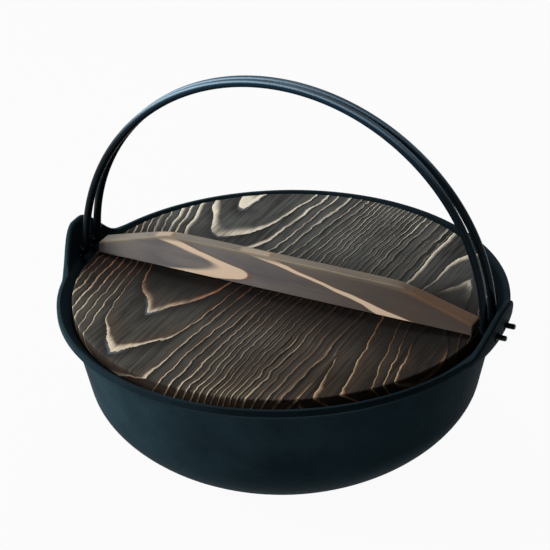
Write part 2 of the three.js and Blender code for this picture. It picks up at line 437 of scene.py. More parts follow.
def smooth(piece: bpy.types.Object) -> None:
    """Shades a piece smooth, apart from its sharp edges."""
    piece.data.shade_smooth()
    piece.data.set_sharp_from_angle(angle=SHARP_ANGLE)


def hand_over(piece: bpy.types.Object, body: str, slot: str, *nodes: str) -> None:
    """Args:
        piece: The piece.
        body: The body that it moves with.
        slot: Its material slot; not used.
        nodes: The nodes that it stands for.
    """
    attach(piece, body)
    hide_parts(*nodes)
    log.info("%s: %d faces on %s", piece.name, len(piece.data.polygons), body)


def grid_faces(columns: int, rows: int, closed: bool = False) -> list[tuple[int, int, int, int]]:
    """Faces of a grid whose points are stored column by column.

    Args:
        columns: How many columns it has.
        rows: How many rows it has.
        closed: Whether the last column joins the first.

    Returns:
        Four corners for each face.
    """
    faces = []
    for column in range(columns if closed else columns - 1):
        here = column * rows
        there = (column + 1) % columns * rows
        for row in range(rows - 1):
            faces.append((here + row, there + row, there + row + 1, here + row + 1))
    return faces


def lathe_faces(columns: int, rows: int, start: int = 0) -> list[tuple[int, ...]]:
    """Faces of a turned solid, whose points are stored column by column: its wall and two caps.

    Args:
        columns: How many columns it has.
        rows: How many rows it has.
        start: The number of its first point.

    Returns:
        The corners of each face.
    """
    faces = grid_faces(columns, rows, closed=True)
    faces += [tuple(range(row, columns * rows, rows)) for row in (0, rows - 1)]
    return [tuple(start + corner for corner in face) for face in faces]


def full_turn(count: int) -> np.ndarray:
    """Angles that are spread evenly round a circle."""
    return np.linspace(0, 2 * math.pi, count, endpoint=False)


def rounded(corners: Sequence[tuple], radii: Sequence[float], fill: Sequence[int], steps: int = 5) -> list:
    """Rounds the corners of an open line, always with the same number of points.

    Args:
        corners: Corners of the line, whose first and last are its ends.
        radii: How far from each inner corner its round starts.
        fill: How many points are put on each straight between corners.
        steps: How many points each round has.

    Returns:
        The points of the line.
    """
    spots = [np.array(corner, float) for corner in corners]
    line = [spots[0]]
    for i in range(1, len(spots)):
        corner = spots[i]
        back = spots[i - 1] - corner
        if i + 1 < len(spots):
            ahead = spots[i + 1] - corner
            sides = [max(np.linalg.norm(way), SHORTEST_SIDE) for way in (back, ahead)]
            reach = min(radii[i - 1], ROUND_SHARE * min(sides))
            start = corner + back / sides[0] * reach
            end = corner + ahead / sides[1] * reach
            share = np.linspace(0, 1, steps)[:, None]
            bend = start * (1 - share) ** 2 + corner * 2 * share * (1 - share) + end * share ** 2
        else:
            bend = corner[None, :]
        last = line[-1]
        straight = [last + (bend[0] - last) * k / (fill[i - 1] + 1) for k in range(1, fill[i - 1] + 1)]
        line += straight + list(bend)
    return line


@dataclass(frozen=True)
class CastIron:
    """Matte blue-black skin of a sand casting, with painted shade: a deeper black on faces that look
    inward, and on the lip and ears, most to the right.
    """

    name: str = "cast_iron_skin"
    deep: tuple = srgb(28, 44, 51)
    pale: tuple = srgb(47, 68, 77)
    painted_shade: tuple = srgb(13, 19, 23)
    sand: float = 0.55
    pits: float = 2.6
    clouds: float = 38.0
    lip_span: Span = (90.0, 96.0)
    lip_shade_span: Span = (-130.0, 20.0)
    roughness: float = 0.62
    specular: float = 0.01
    relief: float = 0.16

    def material(self) -> bpy.types.Material:
        """Builds the finish.

        Returns:
            The material.
        """
        paint = Paint(self.name)
        place = paint.place()
        sand = paint.noise(place, self.sand, 1.5, 3.0)
        pits = paint.noise(place, self.pits, 4.5)
        clouds = paint.noise(place, self.clouds, 7.5, 3.0)
        share = (clouds * 1.3 + sand * 0.5 + 0.5).ease(0.1, 0.9)
        # Painted shade: faces that look inward are darkened.
        inside = (paint.mark("inward") + clouds * 0.2).ease(-0.15, 0.3)
        # Painted shade on the lip and ears, which grows towards the right.
        rightwards = place[0].ease(*self.lip_shade_span)
        painted_lip_shade = place[2].ease(*self.lip_span) * (0.1 + rightwards * 0.6)
        color = paint.blend(share, self.deep, self.pale)
        return paint.surface(
            Base_Color=paint.blend((inside * 0.8).most(painted_lip_shade), color, self.painted_shade),
            Roughness=self.roughness + clouds * 0.16 + sand * 0.1,
            Specular_IOR_Level=self.specular,
            Normal=paint.bump(sand * 0.5 + pits * 0.6, self.relief),
        )


@dataclass(frozen=True)
class BakedBlack:
    """Satin black coat of the steel rods, with painted sheen on the bail's top: a blue tint there and a
    pale blue-grey painted highlight along its upper side.
    """

    name: str = "baked_black_coat"
    coat: tuple = srgb(10, 17, 21)
    rubbed: tuple = srgb(22, 34, 42)
    blue: tuple = srgb(20, 42, 58)
    painted_highlight: tuple = srgb(150, 178, 198)
    gloss: tuple = (0.55, 0.82, 1.0, 1.0)
    crown_sheen_span: Span = (172.0, 236.0)
    band_at: float = 0.66
    band_reach: float = 0.17
    drag: tuple = (7.0, 0.8, 7.0)
    grit: float = 0.5
    wear: float = 24.0
    roughness: float = 0.27
    specular: float = 0.1
    relief: float = 0.004

    def material(self) -> bpy.types.Material:
        """Builds the finish.

        Returns:
            The material.
        """
        paint = Paint(self.name)
        place = paint.place()
        drag = paint.noise(place, self.drag, 2.5, 3.0)
        grit = paint.noise(place, self.grit, 5.5)
        wear = (paint.noise(place, self.wear, 8.5, 3.0) + drag * 0.4).ease(0.06, 0.42)
        # Painted sheen: the bail's top is tinted blue, and a band of painted highlight lies along its upper
        # side.
        crown_sheen = place[2].ease(*self.crown_sheen_span)
        band = paint.mark("upper").bell(self.band_at, self.band_reach) * crown_sheen * (0.95 + drag * 0.2)
        layers = [(wear, self.rubbed), (crown_sheen * 0.9, self.blue), (band, self.painted_highlight)]
        return paint.surface(
            Base_Color=paint.coats(self.coat, *layers),
            Roughness=self.roughness + crown_sheen * 0.12 + drag * 0.08 + wear * 0.1,
            Specular_IOR_Level=self.specular,
            Specular_Tint=self.gloss,
            Normal=paint.bump(grit * 0.5 + drag * 0.5, self.relief),
        )


@dataclass(frozen=True)
class BrightSteel:
    """Plain steel of the wood screws."""

    name: str = "plain_steel"
    light: tuple = srgb(178, 178, 174)
    dull: tuple = srgb(120, 118, 112)
    turning: float = 0.25
    stains: float = 2.5
    roughness: float = 0.32
    relief: float = 0.02

    def material(self) -> bpy.types.Material:
        """Builds the finish.

        Returns:
            The material.
        """
        paint = Paint(self.name)
        place = paint.place()
        turned = paint.noise(place, self.turning, 3.5)
        stain = paint.noise(place, self.stains, 6.5, 3.0).ease(0.0, 0.3)
        return paint.surface(
            Base_Color=paint.blend(stain, self.light, self.dull),
            Metallic=1.0,
            Roughness=self.roughness + stain * 0.25,
            Normal=paint.bump(turned, self.relief),
        )


@dataclass(frozen=True)
class Flank:
    """How growth rings crowd together on one side of a board's heart line.

    Lengths are in millimetres from the heart line, and slopes in rings to the millimetre.
    """

    point: float
    knee: float
    fan: float
    knee_round: float = 4.5
    broad: float = 0.0
    crowd: float = 0.0
    broad_span: Span = (45.0, 100.0)
    crowd_span: Span = (58.0, 118.0)

    def rings(self, reach: Wire) -> Wire:
        """Counts the rings between the heart line and a place.

        Args:
            reach: Distance of the place from the heart line.

        Returns:
            The number of rings.
        """
        past = reach - self.knee
        fanned = (past + (past * past + self.knee_round ** 2).root()) * (self.fan / 2)
        return reach * self.point + fanned + reach.ease(*self.crowd_span) * self.crowd


@dataclass(frozen=True)
class CathedralGrain:
    """Growth rings of a flat-sawn board, which surface as nested points along a heart line.

    A ring number is whole where late wood ends. Lengths are in millimetres of the lid's frame: tip is
    where a point lies on the heart line, and the points open into plain lines from hold_from to hold_to.
    Spans named along run along the grain, and the others lead away from the heart line.
    """

    heart: float
    tip: float
    tip_spacing: float
    points_to_front: bool
    left: Flank
    right: Flank
    hold_from: float
    hold_to: float
    front_width: float
    seed: float
    climb_from: float = -200.0
    lean: float = 0.0
    front_lean: float = 0.0
    hold_spread: float = 0.0
    left_thin: float = 0.0
    front_blunt: float = 0.0
    pinch: float = 0.0
    extra: float = 0.0
    sink: float = 0.08
    top: float = LID_TOP - 0.6
    bend: tuple = (75.0, 60.0, 60.0)
    ripple: tuple = (48.0, 15.0, 30.0)
    jitter: tuple = (20.0, 6.0, 20.0)
    uneven: tuple = (14.0, 140.0, 60.0)
    bend_most: float = 3.4
    ripple_most: float = 4.2
    jitter_most: float = 1.3
    jitter_more: float = 0.9
    jitter_grows: Span = (25.0, 50.0)
    jitter_fades: Span = (60.0, 95.0)
    lean_front: float = 30.0
    lean_fades: Span = (25.0, 70.0)
    thin_along: Span = (5.0, 75.0)
    hold_loss: float = 0.92
    extra_along: Span = (-30.0, 72.0)
    left_nip: float = 0.4
    left_nip_along: Span = (40.0, 60.0)
    left_nip_across: Span = (2.0, 18.0)
    right_nip: float = 0.44
    right_nip_along: Span = (84.0, 96.0)
    right_nip_across: Span = (0.0, 7.0)
    right_nip_fades: Span = (17.0, 33.0)
    uneven_most: float = 0.4
    uneven_more: float = 0.5
    uneven_grows: Span = (15.0, 45.0)
    least_width: float = 0.15
    blunt_run: float = 520.0
    blunt_most: float = 0.34
    blunt_along: Span = (85.0, 108.0)
    blunt_left: Span = (2.0, 15.0)
    blunt_fades: Span = (4.0, 24.0)
    rear_along: Span = (0.0, 40.0)
    rear_left: Span = (0.0, 25.0)
    front_along: Span = (60.0, 118.0)
    front_sides: Span = (40.0, 60.0)

    def across(self, bench: Bench, place: Place) -> Wire:
        """Signed distance from the wandering heart line.

        Args:
            bench: The tree that the nodes go into.
            place: The place in the lid's frame.

        Returns:
            A distance in millimetres, above zero to the right.
        """
        x, y, _ = place
        off = x - self.heart - (y - self.lean_front).least(0.0) * self.front_lean
        reach = abs(off)
        bend = bench.noise(place, self.bend, self.seed, 1.0) * self.bend_most
        ripple = bench.noise(place, self.ripple, self.seed + 1, 1.0) * self.ripple_most
        grown = self.jitter_most + reach.ease(*self.jitter_grows) * self.jitter_more
        rough = grown - reach.ease(*self.jitter_fades) * self.jitter_most
        jitter = bench.noise(place, self.jitter, self.seed + 2, 1.0) * rough
        return off - y * self.lean * (1 - reach.ease(*self.lean_fades)) + bend + ripple + jitter

    def rings(self, bench: Bench, place: Place, across: Wire) -> Wire:
        """Ring number at a place.

        Args:
            bench: The tree that the nodes go into.
            place: The place in the lid's frame.
            across: Its signed distance from the heart line.

        Returns:
            A number that grows by one from each late wood line to the next, outwards.
        """
        _, y, z = place
        reach = abs(across)
        thinned = 1 - y.ease(*self.thin_along) * self.left_thin
        left = self.left.rings((-across).most(0.0)) * thinned
        fan = left + self.right.rings(across.most(0.0))
        hold_to = self.hold_to + y * self.hold_spread
        hold = 1 - reach.ease(self.hold_from, hold_to) * self.hold_loss
        way = -1.0 if self.points_to_front else 1.0
        climb = (y.most(self.climb_from) - self.tip) * (way / self.tip_spacing)
        along = climb + y.ease(*self.extra_along) * (way * self.extra)
        left_side = (-across).ease(*self.left_nip_across)
        left_nip = y.ease(*self.left_nip_along) * left_side * self.left_nip
        right_side = across.ease(*self.right_nip_across) * (1 - across.ease(*self.right_nip_fades))
        pinch = left_nip + y.ease(*self.right_nip_along) * (right_side * self.right_nip)
        spread = self.uneven_most + reach.ease(*self.uneven_grows) * self.uneven_more
        uneven = bench.noise(place, self.uneven, self.seed + 3, 1.0) * spread
        sunk = (self.top - z).most(0.0) * self.sink
        return fan + pinch * self.pinch + hold * along + uneven + sunk

    def late_wood(self, place: Place, across: Wire, rings: Wire) -> Wire:
        """Late wood of each ring, which builds up slowly, broadest at the points, and stops at once.

        Args:
            place: The place in the lid's frame.
            across: Its signed distance from the heart line.
            rings: Its ring number.

        Returns:
            A value of 0 in the early wood and 1 at the end of the late wood.
        """
        y = place[1]
        reach = abs(across)
        front = -y
        leftwards = -across
        luck = rings.bench.chance(rings.floor(), self.seed + 7)
        tapered = abs(y - self.tip) / self.blunt_run + front.ease(*self.blunt_along) * self.front_blunt
        one_sided = 1 - leftwards.ease(*self.blunt_left) * 0.75
        blunt = tapered.least(self.blunt_most) * (1 - reach.ease(*self.blunt_fades)) * one_sided
        left_side = leftwards.ease(*self.left.broad_span) * self.left.broad
        side = left_side + across.ease(*self.right.broad_span) * self.right.broad
        at_rear = y.ease(*self.rear_along) * (0.1 + leftwards.ease(*self.rear_left) * 0.08)
        at_sides = reach.ease(*self.front_sides) * 0.17
        at_front = front.ease(*self.front_along) * (at_sides + self.front_width)
        width = (self.least_width + side + (at_rear + at_front)) * (0.6 + luck * 0.8) + blunt
        return rings.fract().ease(1 - width, 1.0)


WIDE_GRAIN = CathedralGrain(
    heart=-66.0,
    tip=-62.5,
    tip_spacing=53.0,
    points_to_front=True,
    left=Flank(point=0.028, knee=21.5, fan=0.155, knee_round=3.0, broad=0.19, broad_span=(20.0, 40.0)),
    right=Flank(point=0.02, knee=30.0, fan=0.1, broad=0.1, crowd=6.0),
    hold_from=20.0,
    hold_to=92.0,
    front_width=-0.05,
    seed=11.0,
    lean=-0.065,
    hold_spread=0.3,
    left_thin=0.34,
    front_blunt=0.13,
    pinch=1.0,
    extra=1.2,
)

NARROW_GRAIN = CathedralGrain(
    heart=101.0,
    tip=60.0,
    tip_spacing=50.0,
    points_to_front=False,
    left=Flank(point=0.04, knee=16.0, fan=0.028),
    right=Flank(point=0.05, knee=10.0, fan=0.035),
    hold_from=8.0,
    hold_to=26.0,
    front_width=0.16,
    seed=31.0,
    climb_from=-25.0,
    front_lean=-0.18,
)


def lid_place(place: Place, turn: float) -> Place:
    """Turns a place of the pot into the lid's frame.

    Args:
        place: The place in the pot's frame.
        turn: The turn of the lid about the upright axis.

    Returns:
        The place in the lid's frame.
    """
    x, y, z = place
    along, across = math.cos(turn), math.sin(turn)
    return x * along + y * across, y * along - x * across, z


@dataclass(frozen=True)
class CharredCedar:
    """Cedar that was burnt black and brushed, so that its late wood shows pale."""

    name: str
    grain: CathedralGrain
    turn: float
    radius: float
    char: tuple = srgb(74, 72, 67)
    rear_sheen_grey: tuple = srgb(77, 79, 77)
    rust: tuple = srgb(66, 51, 40)
    umber: tuple = srgb(108, 76, 52)
    cream: tuple = srgb(216, 200, 175)
    honey: tuple = srgb(206, 176, 138)
    rear_sheen_cream: tuple = srgb(224, 215, 196)
    ember: tuple = srgb(182, 112, 68)
    haze: tuple = srgb(128, 138, 148)
    soot: tuple = srgb(16, 14, 13)
    edge: tuple = srgb(52, 40, 32)
    fibre: tuple = (0.8, 20.0, 3.0)
    strand: tuple = (2.0, 60.0, 6.0)
    burn: tuple = (30.0, 54.0, 40.0)
    patch: tuple = (9.0, 16.0, 12.0)
    rear_span: Span = (-8.0, 30.0)
    warm_span: Span = (10.0, 130.0)
    deep_span: Span = (-70.0, 30.0)
    shade_half: float = 15.0
    shade_fade: float = 48.0
    hidden_span: Span = (10.0, 26.0)
    dense_span: Span = (30.0, 95.0)
    fine_span: Span = (50.0, 85.0)
    halo_span: Span = (2.0, 11.0)
    calm_span: Span = (28.0, 45.0)
    dim_span: Span = (55.0, 80.0)
    rim_bright: Span = (85.0, 125.0)
    rim_clear: Span = (100.0, 128.0)
    edge_inside: Span = (2.5, 1.2)
    edge_down: float = 2.0
    roughness: float = 0.56
    specular: float = 0.04
    relief: float = 0.22

    def material(self) -> bpy.types.Material:
        """Builds the finish.

        Returns:
            The material.
        """
        paint = Paint(self.name)
        place = lid_place(paint.place(), self.turn)
        x, y, z = place
        across = self.grain.across(paint, place)
        fibre = paint.noise(place, self.fibre, 2.0, 3.0)
        strand = paint.noise(place, self.strand, 5.0)
        burn = paint.noise(place, self.burn, 8.0, 3.0)
        patch = paint.noise(place, self.patch, 3.0)
        rings = self.grain.rings(paint, place, across) + fibre * 0.06
        late = self.grain.late_wood(place, across, rings)
        reach = abs(across)
        share = rings.fract()
        luck = paint.chance(rings.floor(), self.grain.seed)
        # Painted sheen: towards the rear the char turns greyer and less warm, and the late wood paler.
        rear = (y + burn * 30.0).ease(*self.rear_span)
        warm = (x * 0.9 - y * 0.3 + burn * 70.0).ease(*self.warm_span) * (1 - rear * 0.7)
        # Darker towards the batten on both sides, and the late wood there turns ember.
        near = 1 - (abs(y) - self.shade_half + burn * 20.0).ease(0.0, self.shade_fade)
        hidden = near * (1 - reach.ease(*self.hidden_span))
        dense = reach.ease(*self.dense_span)
        fine = (rings * 2 + strand * 0.8).fract().ease(0.66, 1.0) * reach.ease(*self.fine_span)
        scorch = (burn * 1.2 + strand * 2.0 + fibre * 1.3 + patch * 0.6).ease(-0.35, 0.65)
        deep = (x + burn * 60.0).ease(*self.deep_span) * (1 - rear * 0.5)
        glow = share ** 5.0 * (0.25 + luck * 0.4) * (1 - rear * 0.7) * (1 - hidden)
        halo = (1 - share.ease(0.0, 0.09)) * (1 - reach.ease(*self.halo_span)) * (1 - hidden)
        dark = paint.coats(
            self.char,
            (rear, self.rear_sheen_grey),
            (warm * 0.85, self.rust),
            ((scorch * 0.8 + warm * 0.12 + deep * 0.27).least(0.95), self.soot),
            (glow, self.umber),
            ((1 - share.ease(0.0, 0.4)) * 0.65, self.soot),
            (near * 0.97, self.soot),
            (halo * 0.5, self.haze),
        )
        near_tint = near * 0.85 * (1 - rear * 0.8)
        # The rear layer of the late wood is painted sheen.
        pale = paint.coats(self.cream, (rear, self.rear_sheen_cream), (warm, self.honey), (near_tint, self.ember))
        rim = (x * x + y * y).root()
        level = 0.66 - reach.ease(*self.calm_span) * 0.14 + rim.ease(*self.rim_bright) * 0.25
        dimmed = rear * x.ease(*self.dim_span) * 0.22
        bright = level - dimmed + luck * 0.35 + strand * 1.5 + patch * 0.7 + burn * 0.6
        faint = dense * (0.64 + (1 - luck) * 0.24) * (1 - rim.ease(*self.rim_clear) * 0.4)
        show = (late * bright * (1 - faint) + fine * (0.2 + strand)) * (1 - near * 0.5)
        lines = (show * (1 - hidden) + fibre * 0.12).ease(0.0, 1.0)
        outer = rim.ease(*(self.radius - inside for inside in self.edge_inside))
        side = outer * (self.grain.top - z).ease(0.0, self.edge_down)
        return paint.surface(
            Base_Color=paint.coats(dark, (lines, pale), (side * 0.7, self.edge)),
            Roughness=self.roughness + late * 0.14 + fibre * 0.12,
            Specular_IOR_Level=self.specular,
            Normal=paint.bump(late * 0.8 + fibre * 0.9 + strand * 0.5, self.relief),
        )


@dataclass(frozen=True)
class SmokedBatten:
    """Cedar of the batten, only smoked, with a rubbed top and two long cream streaks.

    A streak runs down the leaning side to the right, and the left one turns back at the foot.
    """

    turn: float
    foot: float
    height: float
    name: str = "smoked_batten"
    smoke: tuple = srgb(134, 128, 123)
    dusk: tuple = srgb(102, 101, 105)
    umber: tuple = srgb(136, 98, 66)
    bister: tuple = srgb(80, 66, 56)
    cream: tuple = srgb(240, 214, 186)
    bare: tuple = srgb(144, 133, 112)
    streak_run: float = 98.0
    streak_foot: float = 88.0
    streak_pitch: float = 72.0
    hook_run: float = 62.0
    wander: tuple = (40.0, 12.0, 22.0)
    wobble: tuple = (17.0, 10.0, 9.0)
    fibre: tuple = (18.0, 0.5, 0.5)
    strand: tuple = (70.0, 1.3, 1.6)
    haze: tuple = (40.0, 14.0, 12.0)
    hook_span: Span = (0.0, 55.0)
    bister_span: Span = (-65.0, 100.0)
    far_span: Span = (72.0, 96.0)
    roughness: float = 0.56
    specular: float = 0.04
    relief: float = 0.16

    def material(self) -> bpy.types.Material:
        """Builds the finish.

        Returns:
            The material.
        """
        paint = Paint(self.name)
        place = lid_place(paint.place(), self.turn)
        x, _, z = place
        rise = (z - self.foot) / self.height
        worn = paint.mark("worn")
        wander = paint.noise(place, self.wander, 3.0, 1.0)
        wobble = paint.noise(place, self.wobble, 4.0, 1.0)
        low = (1 - rise * 2).most(0.0)
        hook = low * low * (1 - x.ease(*self.hook_span)) * self.hook_run
        edge = self.streak_foot - rise * self.streak_run - hook + (wander * 8.0 + wobble * 8.0)
        rings = (x - edge) / self.streak_pitch + 0.5
        past = (rings.fract() - 0.5) * self.streak_pitch
        left = (-rings).ease(-0.05, 0.05)
        kept = 1 - abs(rings).ease(0.98, 1.02)
        core = 6.0 + (rise - 0.5) * (rise - 0.5) * 40.0 + low * 5.0 + left * 5.0
        soft = 3.0 + left * (6.0 + low * 10.0)
        streak = (1 - past.ease(-0.5, 2.0)) * (1 - (-past).ease(core, core + soft)) * kept * (1 - worn)
        fibre = paint.noise(place, self.fibre, 6.0, 3.0)
        strand = paint.noise(place, self.strand, 7.0)
        haze = paint.noise(place, self.haze, 9.0, 3.0)
        fringe = past.bell(1.5, 4.0) * kept
        far = x.ease(*self.far_span)
        rubbed = worn * (0.75 + fibre * 1.2 + strand * 1.8) * (1 - far * 0.7)
        color = paint.coats(
            self.dusk,
            ((0.5 + haze * 1.5 + strand * 0.5).ease(0.1, 0.9), self.smoke),
            ((x + haze * 40.0).ease(*self.bister_span) * 0.8, self.bister),
            ((fringe * 0.6 + strand * 0.35).ease(0.0, 1.0), self.umber),
            (streak, self.cream),
            ((rubbed + fibre * 0.2).ease(0.0, 1.1), self.bare),
            (worn * far * 0.6, self.umber),
        )
        return paint.surface(
            Base_Color=color,
            Roughness=self.roughness + fibre * 0.2,
            Specular_IOR_Level=self.specular,
            Normal=paint.bump(fibre * 0.9 + streak * 0.25, self.relief),
        )


@dataclass
class PotCasting:
    """The bowl with its flared rim and two pierced ears, cast in one piece."""

    rim_radius: float = 140.0
    rim_height: float = 98.6
    base_radius: float = 70.0
    wall: float = 3.5
    wall_taper: float = math.radians(12.2)
    belly_height: float = 44.8
    belly_base_pull: float = 12.0
    belly_wall_pull: float = 23.0
    flare_height: float = 10.1
    flare_reach: float = 8.4
    lip_face: float = 4.0
    lip_width: float = 2.4
    lip_undercut: float = 0.3
    seat_break: float = 0.5
    neck_run: float = 4.0
    ear_height: float = 21.5
    ear_top_half: float = 4.0
    ear_root_half: float = 36.0
    ear_root_depth: float = 7.5
    ear_root_tuck: float = 0.3
    ear_runout: float = 8.0
    ear_standoff: float = 2.2
    ear_wall: float = 4.2
    ear_lean: float = math.radians(13)
    ear_shoulder: float = 1.6
    ear_foot_shift: tuple = (0.2, 0.15)
    lip_radii: tuple = (2.2, 0.2, 0.5, 0.4, 1.1, 0.7, 0.2, 2.2)
    ear_radii: tuple = (2.2, 2.6, 1.6, 3.0, 2.0, 2.0, 2.2, 2.2)
    rim_fill: tuple = (1, 4, 1, 2, 7, 1, 7, 6, 1)
    floor_shares: tuple = (0.3, 0.6, 0.85, 0.96)
    bed_shares: tuple = (0.97, 0.8, 0.5, 0.25)
    belly_steps: int = 22
    wall_steps: int = 8
    ear_step: float = 0.5
    plain_columns: int = 72
    eye_radius: float = 3.3
    eye_sides: int = 40
    drill_share: float = 1.2
    skin_depth: float = 0.14
    skin_grain: tuple = (21.0, 21.0, 15.0)

    def __post_init__(self) -> None:
        """Works out the corners of the bowl's section."""
        self.neck = np.array([self.rim_radius - self.flare_reach, self.rim_height - self.flare_height])
        self.lip_foot = np.array([self.rim_radius, self.rim_height - self.lip_face])
        self.lip_inside = np.array([self.rim_radius - self.lip_width, self.rim_height])
        self.wall_way = np.array([math.sin(self.wall_taper), math.cos(self.wall_taper)])
        flare = self.lip_foot - self.neck
        self.flare_way = flare / np.linalg.norm(flare)
        sides = [np.array([-way[1], way[0]]) for way in (self.wall_way, self.flare_way)]
        spread = 1 + sides[0] @ sides[1]
        self.inner_neck = self.neck + (sides[0] + sides[1]) * self.wall / spread
        seat = self.lip_inside - self.inner_neck
        self.seat_way = seat / np.linalg.norm(seat)

    def ear_rise(self, along: float) -> float:
        """Height of an ear above the rim, at a distance along the rim from its middle."""
        return self.ear_height * (1 - smoothstep(abs(along), self.ear_top_half, self.ear_root_half))

    def belly(self) -> tuple[np.ndarray, np.ndarray]:
        """Curves of the belly, from the base up to the tapered wall.

        Returns:
            The outer and the inner curve, as points of radius and height.
        """
        top = self.neck + self.wall_way * (self.belly_height - self.neck[1]) / self.wall_way[1]
        pulls = [
            np.array([self.base_radius, 0.0]),
            np.array([self.base_radius + self.belly_base_pull, 0.0]),
            top - self.wall_way * self.belly_wall_pull,
            top,
        ]
        share = np.linspace(0, 1, self.belly_steps)[:, None]
        rest = 1 - share
        curve = (rest ** 3 * pulls[0] + 3 * rest ** 2 * share * pulls[1]
                 + 3 * rest * share ** 2 * pulls[2] + share ** 3 * pulls[3])
        way = np.gradient(curve, axis=0)
        way /= np.linalg.norm(way, axis=1)[:, None]
        inner = curve + np.stack([-way[:, 1], way[:, 0]], axis=1) * self.wall
        return curve, inner

    def rim_line(self, along: float) -> list:
        """Section of the rim from the neck over the lip, or over an ear, to the inner neck.

        Args:
            along: Distance along the rim from the middle of the nearest ear.

        Returns:
            Points of radius and height, as many at every place.
        """
        full = smoothstep(self.ear_root_half + self.ear_runout - abs(along), 0, 2 * self.ear_runout)
        top = self.rim_height + self.ear_rise(along)
        lean = math.tan(self.ear_lean) * (top - self.rim_height)
        root = self.rim_height - lerp(self.lip_face, self.ear_root_depth, full)
        under = root - self.lip_undercut * (1 - full)
        slope = self.flare_way[0] / self.flare_way[1]
        outer = self.rim_radius + self.ear_standoff * full
        inner_foot = lerp(self.lip_inside[0], self.rim_radius + self.ear_standoff - self.ear_wall, full)
        seat_start = self.lip_inside - self.seat_way * lerp(self.seat_break, 0.0, full)
        run = self.wall_way * self.neck_run
        corners = [
            self.neck - run,
            self.neck,
            (self.neck[0] + (under - self.neck[1]) * slope, under),
            (self.rim_radius - self.ear_root_tuck * full, root),
            (outer, self.rim_height - self.ear_shoulder),
            (outer + lean, top),
            (inner_foot + lean, top),
            seat_start + np.array(self.ear_foot_shift) * full,
            self.inner_neck,
            self.inner_neck - run,
        ]
        radii = [lerp(lip, ear, full) for lip, ear in zip(self.lip_radii, self.ear_radii)]
        return rounded(corners, radii, self.rim_fill)

    def section(self, along: float) -> np.ndarray:
        """The whole section at one place of the rim.

        Args:
            along: Distance along the rim from the middle of the nearest ear.

        Returns:
            Points of radius and height, from under the base to inside it.
        """
        outer, inner = self.belly()
        rim = self.rim_line(along)
        share = np.linspace(0, 1, self.wall_steps)[1:-1, None]
        up = outer[-1] + (rim[0] - outer[-1]) * share
        down = rim[-1] + (inner[-1] - rim[-1]) * share
        floor = [(r * self.base_radius, 0.0) for r in self.floor_shares]
        bed = [(r * inner[0][0], self.wall) for r in self.bed_shares]
        return np.vstack([floor, outer, up, rim, down, inner[::-1], bed])

    def angles(self) -> np.ndarray:
        """Places of the columns round the pot.

        Returns:
            Angles about the upright axis, close together on the ears.
        """
        near = math.degrees((self.ear_root_half + self.ear_runout) / self.rim_radius)
        fine = np.arange(-near, near, self.ear_step)
        coarse = np.linspace(near, 180 - near, self.plain_columns, endpoint=False)
        half = np.concatenate([fine, coarse])
        return np.radians(np.concatenate([half, half + 180]))

    def build(self, material: bpy.types.Material, eyes: Sequence[Vector]) -> None:
        """Makes the casting, drills the eyes and gives it its skin.

        Args:
            material: The finish of the iron.
            eyes: A point on the axis of each pair of eyes, in metres.
        """
        angles = self.angles()
        points = []
        for angle in angles:
            nearest = math.remainder(angle, math.pi)
            section = self.section(nearest * self.rim_radius)
            points += [(r * math.cos(angle), r * math.sin(angle), z) for r, z in section]
        columns = len(angles)
        rows = len(points) // columns
        faces = grid_faces(columns, rows, closed=True)
        for row, height in ((0, 0.0), (rows - 1, self.wall)):
            middle = len(points)
            points.append((0.0, 0.0, height))
            for column in range(columns):
                faces.append((column * rows + row, (column + 1) % columns * rows + row, middle))
        pot = make_piece("pot_casting", np.array(points), faces)
        for eye in eyes:
            cut(pot, self.eye_drill(eye))
        recipe = Recipe("sand_cast_skin")
        depth = recipe.size("Skin depth", self.skin_depth * MM)
        place = recipe.place()
        x, y, _ = place
        swell = recipe.noise(place, self.skin_grain, 2.0) + 0.5
        normal = recipe.add("GeometryNodeInputNormal")
        inputs = {"Vector": normal, "Scale": -(depth * swell)}
        inward = recipe.add("ShaderNodeVectorMath", {"operation": "SCALE"}, inputs)
        # How far each face looks inward, which the iron's finish reads for its painted shade.
        nx, ny, _ = recipe.split(normal)
        facing = -(nx * x + ny * y) / (x * x + y * y + 1.0).root()
        recipe.run(pot, recipe.store(recipe.move(inward), "inward", facing), material)
        smooth(pot)
        hand_over(pot, "pot", "iron", "pot_body")

    def eye_drill(self, eye: Vector) -> bpy.types.Object:
        """A round bar along X that drills one eye through both ears.

        Args:
            eye: A point on the eye's axis, in metres.

        Returns:
            The bar.
        """
        reach = self.rim_radius * self.drill_share
        points = []
        for turn in full_turn(self.eye_sides):
            y = eye.y / MM + self.eye_radius * math.cos(turn)
            z = eye.z / MM + self.eye_radius * math.sin(turn)
            points += [(-reach, y, z), (reach, y, z)]
        return make_piece("eye_drill", np.array(points), lathe_faces(self.eye_sides, 2))


class Side(Enum):
    """The two rods of the bail, by the body that each is."""

    FRONT = "front"
    REAR = "rear"


